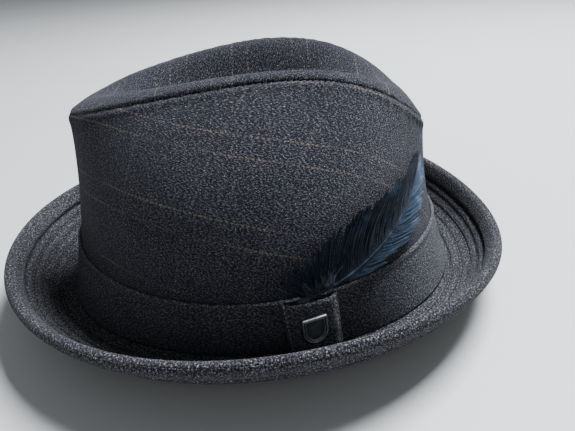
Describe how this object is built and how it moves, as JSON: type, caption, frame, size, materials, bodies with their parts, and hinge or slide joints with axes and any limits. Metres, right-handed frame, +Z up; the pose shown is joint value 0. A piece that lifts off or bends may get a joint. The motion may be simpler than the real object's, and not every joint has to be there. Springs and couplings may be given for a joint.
{
  "type": "fedora hat",
  "caption": "Cut-and-sewn tweed fedora with a short turned-up brim, a dented crown, a hat band with a tab and plain shield badge, and a feather that pulls out from behind the tab.",
  "frame": {"origin": "on the surface the hat stands on, under the middle of the brim's outline", "axes": "+Z up; -Y is the front of the hat and +Y its back; +X is the wearer's left, where the tab and the feather are"},
  "size_m": [0.2424, 0.262, 0.1157],
  "materials": {
    "tweed": "salt-and-pepper wool tweed, charcoal ground with grey and tan flecks and a faint ochre overcheck",
    "band_tweed": "the same tweed on the bias, folded and pressed",
    "canvas": "fusible canvas, matte",
    "lining_satin": "satin, soft sheen",
    "headline_tape": "woven cotton tape",
    "sweat_leather": "smooth sweatband leather, satin",
    "label_tape": "woven label tape, blank",
    "gunmetal": "darkened metal, brushed",
    "quill": "natural horn, satin",
    "wrap_thread": "black binding thread",
    "dark_vane": "blue-black feather barbs, slight sheen",
    "blue_vane": "steel-blue feather barbs, slight sheen",
    "down": "loose downy barbs"
  },
  "bodies": {
    "hat": {"crown_side_left": "tweed", "crown_side_right": "tweed", "crown_tip": "tweed", "side_canvas_left": "canvas", "side_canvas_right": "canvas", "tip_canvas": "canvas", "lining_side_left": "lining_satin", "lining_side_right": "lining_satin", "lining_tip": "lining_satin", "maker_label": "label_tape", "headline_tape": "headline_tape", "sweatband": "sweat_leather", "size_label": "label_tape", "brim_top_cloth": "tweed", "brim_stiffener": "canvas", "brim_under_cloth": "tweed", "hat_band": "band_tweed", "band_tab": "band_tweed", "badge_shield": "gunmetal", "badge_backing": "gunmetal"},
    "feather": {"feather_quill": "quill", "feather_wrap": "wrap_thread", "feather_vane_upper": "dark_vane", "feather_vane_lower": "blue_vane", "feather_down": "down"}
  },
  "joints": [
    {"name": "feather_pull", "type": "slide", "parent": "hat", "child": "feather", "axis": [-0.3405, 0.9164, 0.2103], "range_m": [0, 0.045]}
  ]
}
